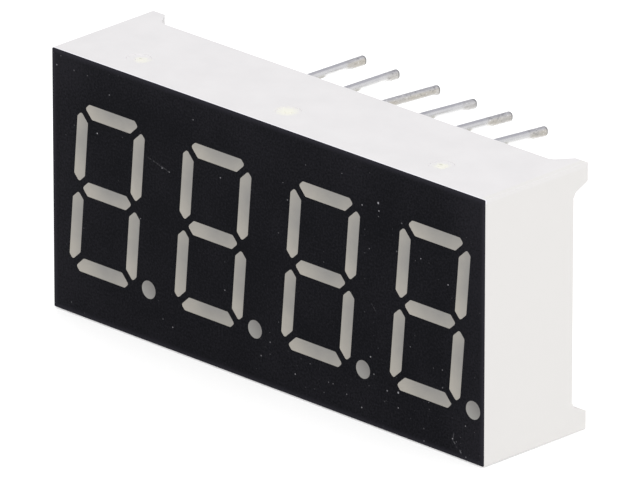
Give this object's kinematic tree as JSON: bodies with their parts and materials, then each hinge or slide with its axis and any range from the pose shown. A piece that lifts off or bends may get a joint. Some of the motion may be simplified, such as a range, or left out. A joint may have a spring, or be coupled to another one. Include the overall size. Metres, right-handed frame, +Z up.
{
  "type": "seven segment display module",
  "caption": "Multi-digit LED display block: white reflector housing with a black face mask, light-bar windows, corner feet and two rows of wire leads.",
  "frame": {"origin": "middle of the module's outer box, on the surface that its long lower side stands on", "axes": "+X to the right across the digits as they are read, +Y from the viewing face back along the leads, +Z up the digits"},
  "size_m": [0.03, 0.0134, 0.014],
  "materials": {
    "white_housing": "fine satin moulded surface",
    "black_mask": "satin black ink",
    "milky_resin": "cast milky grey epoxy",
    "board_laminate": "glass laminate",
    "copper": "plated copper",
    "solder": "smooth solder",
    "led_chip": "polished crystal",
    "gold_wire": "bright drawn wire",
    "tinned_wire": "dipped tin, slightly uneven"
  },
  "bodies": {
    "root": {"housing": "white_housing", "face_print": "black_mask", "resin": "milky_resin", "circuit_board": "board_laminate", "copper_pads": "copper", "solder_joints": "solder", "led_chips_1": "led_chip", "led_chips_2": "led_chip", "led_chips_3": "led_chip", "led_chips_4": "led_chip", "bond_wires_1": "gold_wire", "bond_wires_2": "gold_wire", "bond_wires_3": "gold_wire", "bond_wires_4": "gold_wire", "lead_01": "tinned_wire", "lead_02": "tinned_wire", "lead_03": "tinned_wire", "lead_04": "tinned_wire", "lead_05": "tinned_wire", "lead_06": "tinned_wire", "lead_07": "tinned_wire", "lead_08": "tinned_wire", "lead_09": "tinned_wire", "lead_10": "tinned_wire", "lead_11": "tinned_wire", "lead_12": "tinned_wire"}
  },
  "joints": []
}
